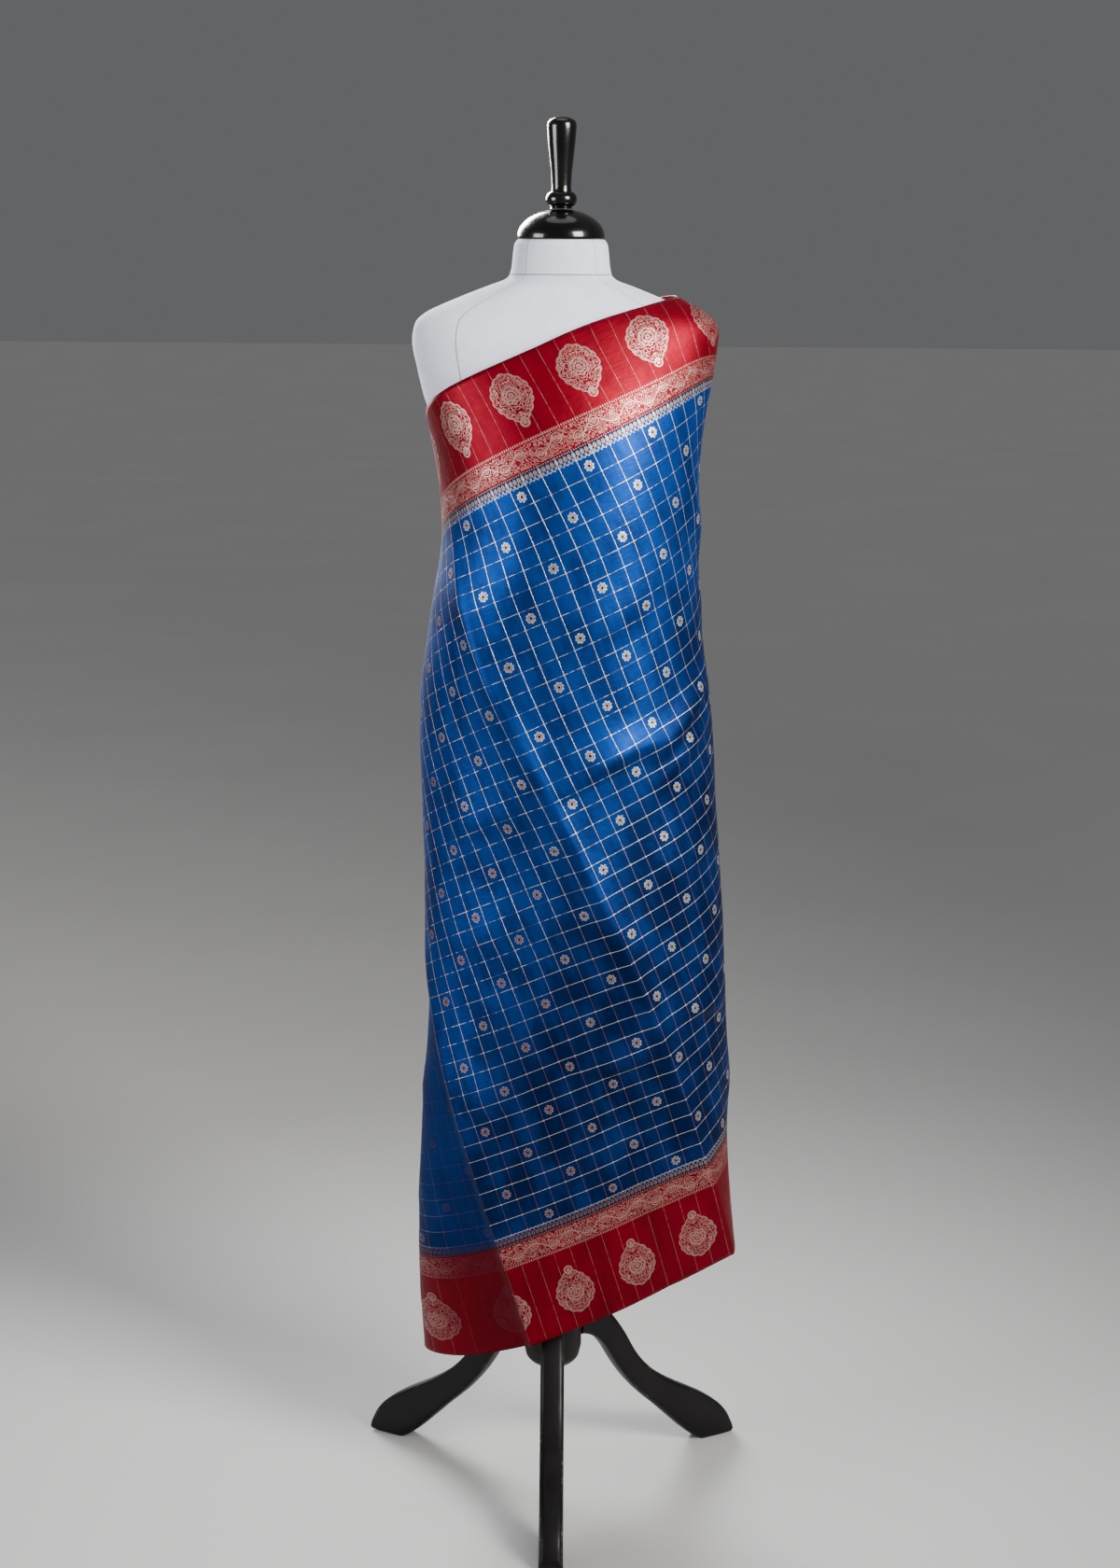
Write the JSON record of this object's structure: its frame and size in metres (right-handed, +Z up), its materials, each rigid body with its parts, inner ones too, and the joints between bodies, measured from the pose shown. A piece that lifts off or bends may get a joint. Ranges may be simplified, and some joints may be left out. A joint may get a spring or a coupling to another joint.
{
  "type": "silk saree on a limbless dress form",
  "caption": "Blue checked silk saree with crimson zari borders, wound once round a limbless linen dress form and over one shoulder, on a black wooden three-legged stand.",
  "frame": {"origin": "on the floor, under the middle of the whole object's box", "axes": "+Z up along the post, -Y the way the front of the form faces, +X towards the shoulder that carries the saree"},
  "size_m": [0.4914, 0.4256, 1.716],
  "materials": {
    "saree_silk": "satin silk with woven metal thread",
    "form_linen": "matte plain weave",
    "gloss_black_wood": "gloss lacquer",
    "satin_black_wood": "satin paint, worn at the edges"
  },
  "bodies": {
    "root": {"inner_wrap": "saree_silk", "back_wrap": "saree_silk", "left_wrap_rear": "saree_silk", "left_wrap_front": "saree_silk", "front_drape_left": "saree_silk", "front_drape_right": "saree_silk", "shoulder_fall": "saree_silk", "torso": "form_linen", "neck_cap": "gloss_black_wood", "finial": "gloss_black_wood", "post": "satin_black_wood", "hub": "satin_black_wood", "leg_front": "satin_black_wood", "leg_rear_right": "satin_black_wood", "leg_rear_left": "satin_black_wood"}
  },
  "joints": []
}
